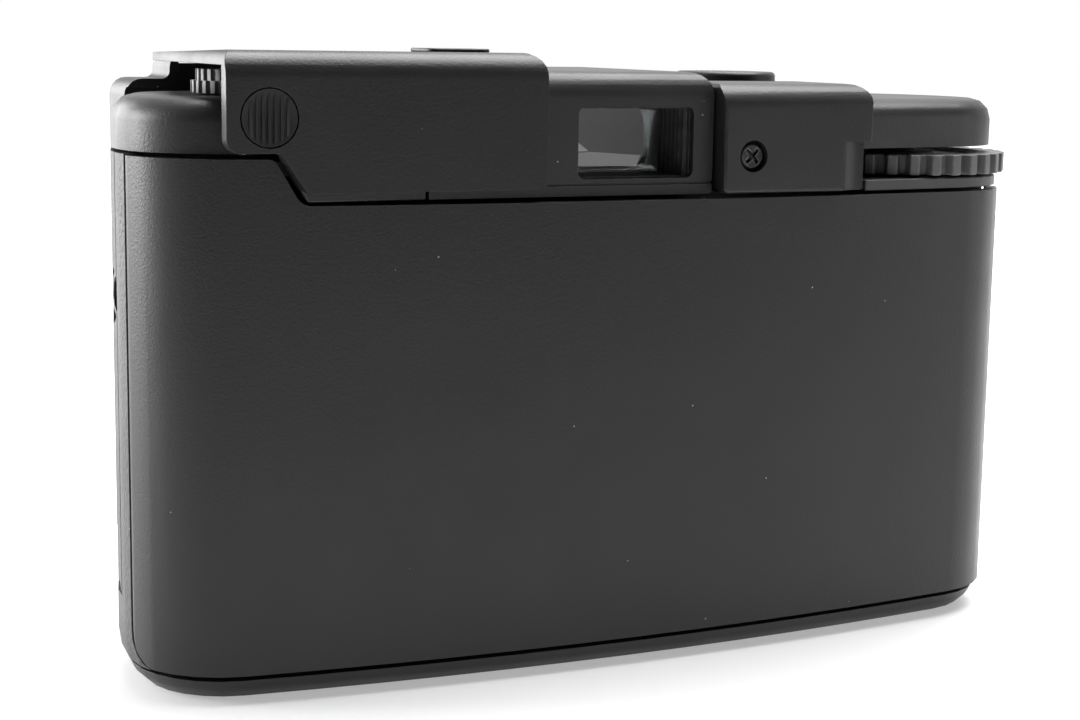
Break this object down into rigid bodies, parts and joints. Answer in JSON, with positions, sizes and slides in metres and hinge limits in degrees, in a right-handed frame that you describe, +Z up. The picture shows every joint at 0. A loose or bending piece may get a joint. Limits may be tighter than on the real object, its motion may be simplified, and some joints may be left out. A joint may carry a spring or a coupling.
{
  "type": "rangefinder camera",
  "caption": "Compact 35 mm rangefinder camera with a sliding clamshell cover, hinged back door, thumb wheel film advance and film transport inside.",
  "frame": {"origin": "on the flat underside of the base plate, below the middle of the body", "axes": "+X to the viewer's right, along the width; +Y forward, the way the lens points; +Z up"},
  "size_m": [0.1026, 0.0393, 0.0634],
  "materials": {
    "shell": "fine pebbled satin black",
    "frame": "matte black moulded frame",
    "blackened_metal": "satin black metal",
    "steel": "plain satin steel",
    "brass": "cut brass",
    "seal": "black foam",
    "glass": "polished, coated",
    "mirror": "front silvered",
    "board": "solder masked board"
  },
  "bodies": {
    "camera_body": {"base_plate": "shell", "body_casting": "shell", "front_shell": "shell", "top_cover": "shell", "viewfinder_housing": "shell", "rear_fascia": "shell", "end_block": "shell", "lower_deck": "shell", "front_rail": "shell", "chassis_floor": "frame", "chassis_ceiling": "frame", "chamber_ceiling": "frame", "cartridge_chamber": "frame", "take_up_chamber": "frame", "film_gate": "frame", "light_tunnel": "frame", "shutter_housing": "frame", "battery_cap": "blackened_metal", "strap_lug": "blackened_metal", "block_screw": "blackened_metal", "lens_barrel": "blackened_metal", "lens_bezel": "blackened_metal", "button_cell_lower": "steel", "button_cell_upper": "steel", "tripod_bush": "steel", "hinge_pin": "steel", "counter_window": "glass", "front_lens": "glass", "rear_lens": "glass", "eyepiece_lens": "glass", "viewfinder_objective": "glass", "rangefinder_window": "glass", "meter_window": "glass", "beam_splitter": "mirror", "rangefinder_mirror": "mirror", "circuit_board": "board"},
    "door": {"back_door": "shell", "pressure_plate": "blackened_metal", "pressure_spring": "steel", "door_seal": "seal"},
    "sliding_cover": {"slide_bridge": "shell", "slide_front_plate": "shell", "slide_thumb_disc": "shell", "slide_top_rib": "shell"},
    "film_advance": {"thumb_wheel": "shell", "take_up_spool": "frame", "spool_gear": "brass"},
    "idler": {"idler_gear": "brass"},
    "sprocket": {"film_sprocket": "frame", "sprocket_gear": "brass"},
    "counter": {"counter_dial": "frame"},
    "rewind": {"rewind_knob": "blackened_metal", "rewind_crank": "blackened_metal", "rewind_fork": "steel"},
    "release": {"release_button": "blackened_metal"},
    "rewind_release": {"rewind_release_button": "steel"},
    "focus": {"focus_ring": "blackened_metal"},
    "aperture": {"aperture_slider": "blackened_metal"},
    "blade_right": {"shutter_blade_right": "steel"},
    "blade_left": {"shutter_blade_left": "steel"}
  },
  "joints": [
    {"name": "door_hinge", "type": "hinge", "parent": "camera_body", "child": "door", "pos_m": [0.0495, -0.0052, 0.025], "axis": [0, 0, 1], "range_deg": [0, 95]},
    {"name": "cover_slide", "type": "slide", "parent": "camera_body", "child": "sliding_cover", "axis": [1, 0, 0], "range_m": [0, 0.0196]},
    {"name": "wheel_spin", "type": "hinge", "parent": "camera_body", "child": "film_advance", "pos_m": [0.0393, -0.0011, 0.03], "axis": [0, 0, 1], "continuous": true},
    {"name": "idler_spin", "type": "hinge", "parent": "camera_body", "child": "idler", "pos_m": [0.02921, 0.0018, 0.055], "axis": [0, 0, 1], "continuous": true},
    {"name": "sprocket_spin", "type": "hinge", "parent": "camera_body", "child": "sprocket", "pos_m": [0.0234, -0.0052, 0.03], "axis": [0, 0, 1], "continuous": true},
    {"name": "counter_spin", "type": "hinge", "parent": "camera_body", "child": "counter", "pos_m": [0.0385, 0.007, 0.0569], "axis": [0, 0, 1], "continuous": true},
    {"name": "rewind_spin", "type": "hinge", "parent": "camera_body", "child": "rewind", "pos_m": [-0.0362, 0.0003, 0.055], "axis": [0, 0, 1], "continuous": true},
    {"name": "release_press", "type": "slide", "parent": "camera_body", "child": "release", "axis": [0, 0, -1], "range_m": [0, 0.0008], "stiffness_N_per_m": 600, "springref_m": -0.0004},
    {"name": "rewind_release_press", "type": "slide", "parent": "camera_body", "child": "rewind_release", "axis": [0, 0, 1], "range_m": [0, 0.0008], "stiffness_N_per_m": 500, "springref_m": -0.0004},
    {"name": "focus_turn", "type": "hinge", "parent": "camera_body", "child": "focus", "pos_m": [-0.0015, 0.0164, 0.0275], "axis": [0, 1, 0], "range_deg": [-30, 30]},
    {"name": "aperture_slide", "type": "slide", "parent": "camera_body", "child": "aperture", "axis": [0, 0, 1], "range_m": [0, 0.0095]},
    {"name": "blade_right_swing", "type": "hinge", "parent": "camera_body", "child": "blade_right", "pos_m": [-0.0003, 0.01045, 0.0189], "axis": [0, 1, 0], "range_deg": [0, 30], "stiffness_Nm_per_rad": 0.002, "springref_deg": -17.19},
    {"name": "blade_left_swing", "type": "hinge", "parent": "camera_body", "child": "blade_left", "pos_m": [-0.0027, 0.01125, 0.0189], "axis": [0, 1, 0], "range_deg": [-30, 0]}
  ],
  "couplings": [
    {"joint": "idler_spin", "follows": "wheel_spin", "ratio": -1.5},
    {"joint": "sprocket_spin", "follows": "wheel_spin", "ratio": 1.2857},
    {"joint": "counter_spin", "follows": "wheel_spin", "ratio": 0.02},
    {"joint": "blade_left_swing", "follows": "blade_right_swing", "ratio": -1}
  ]
}
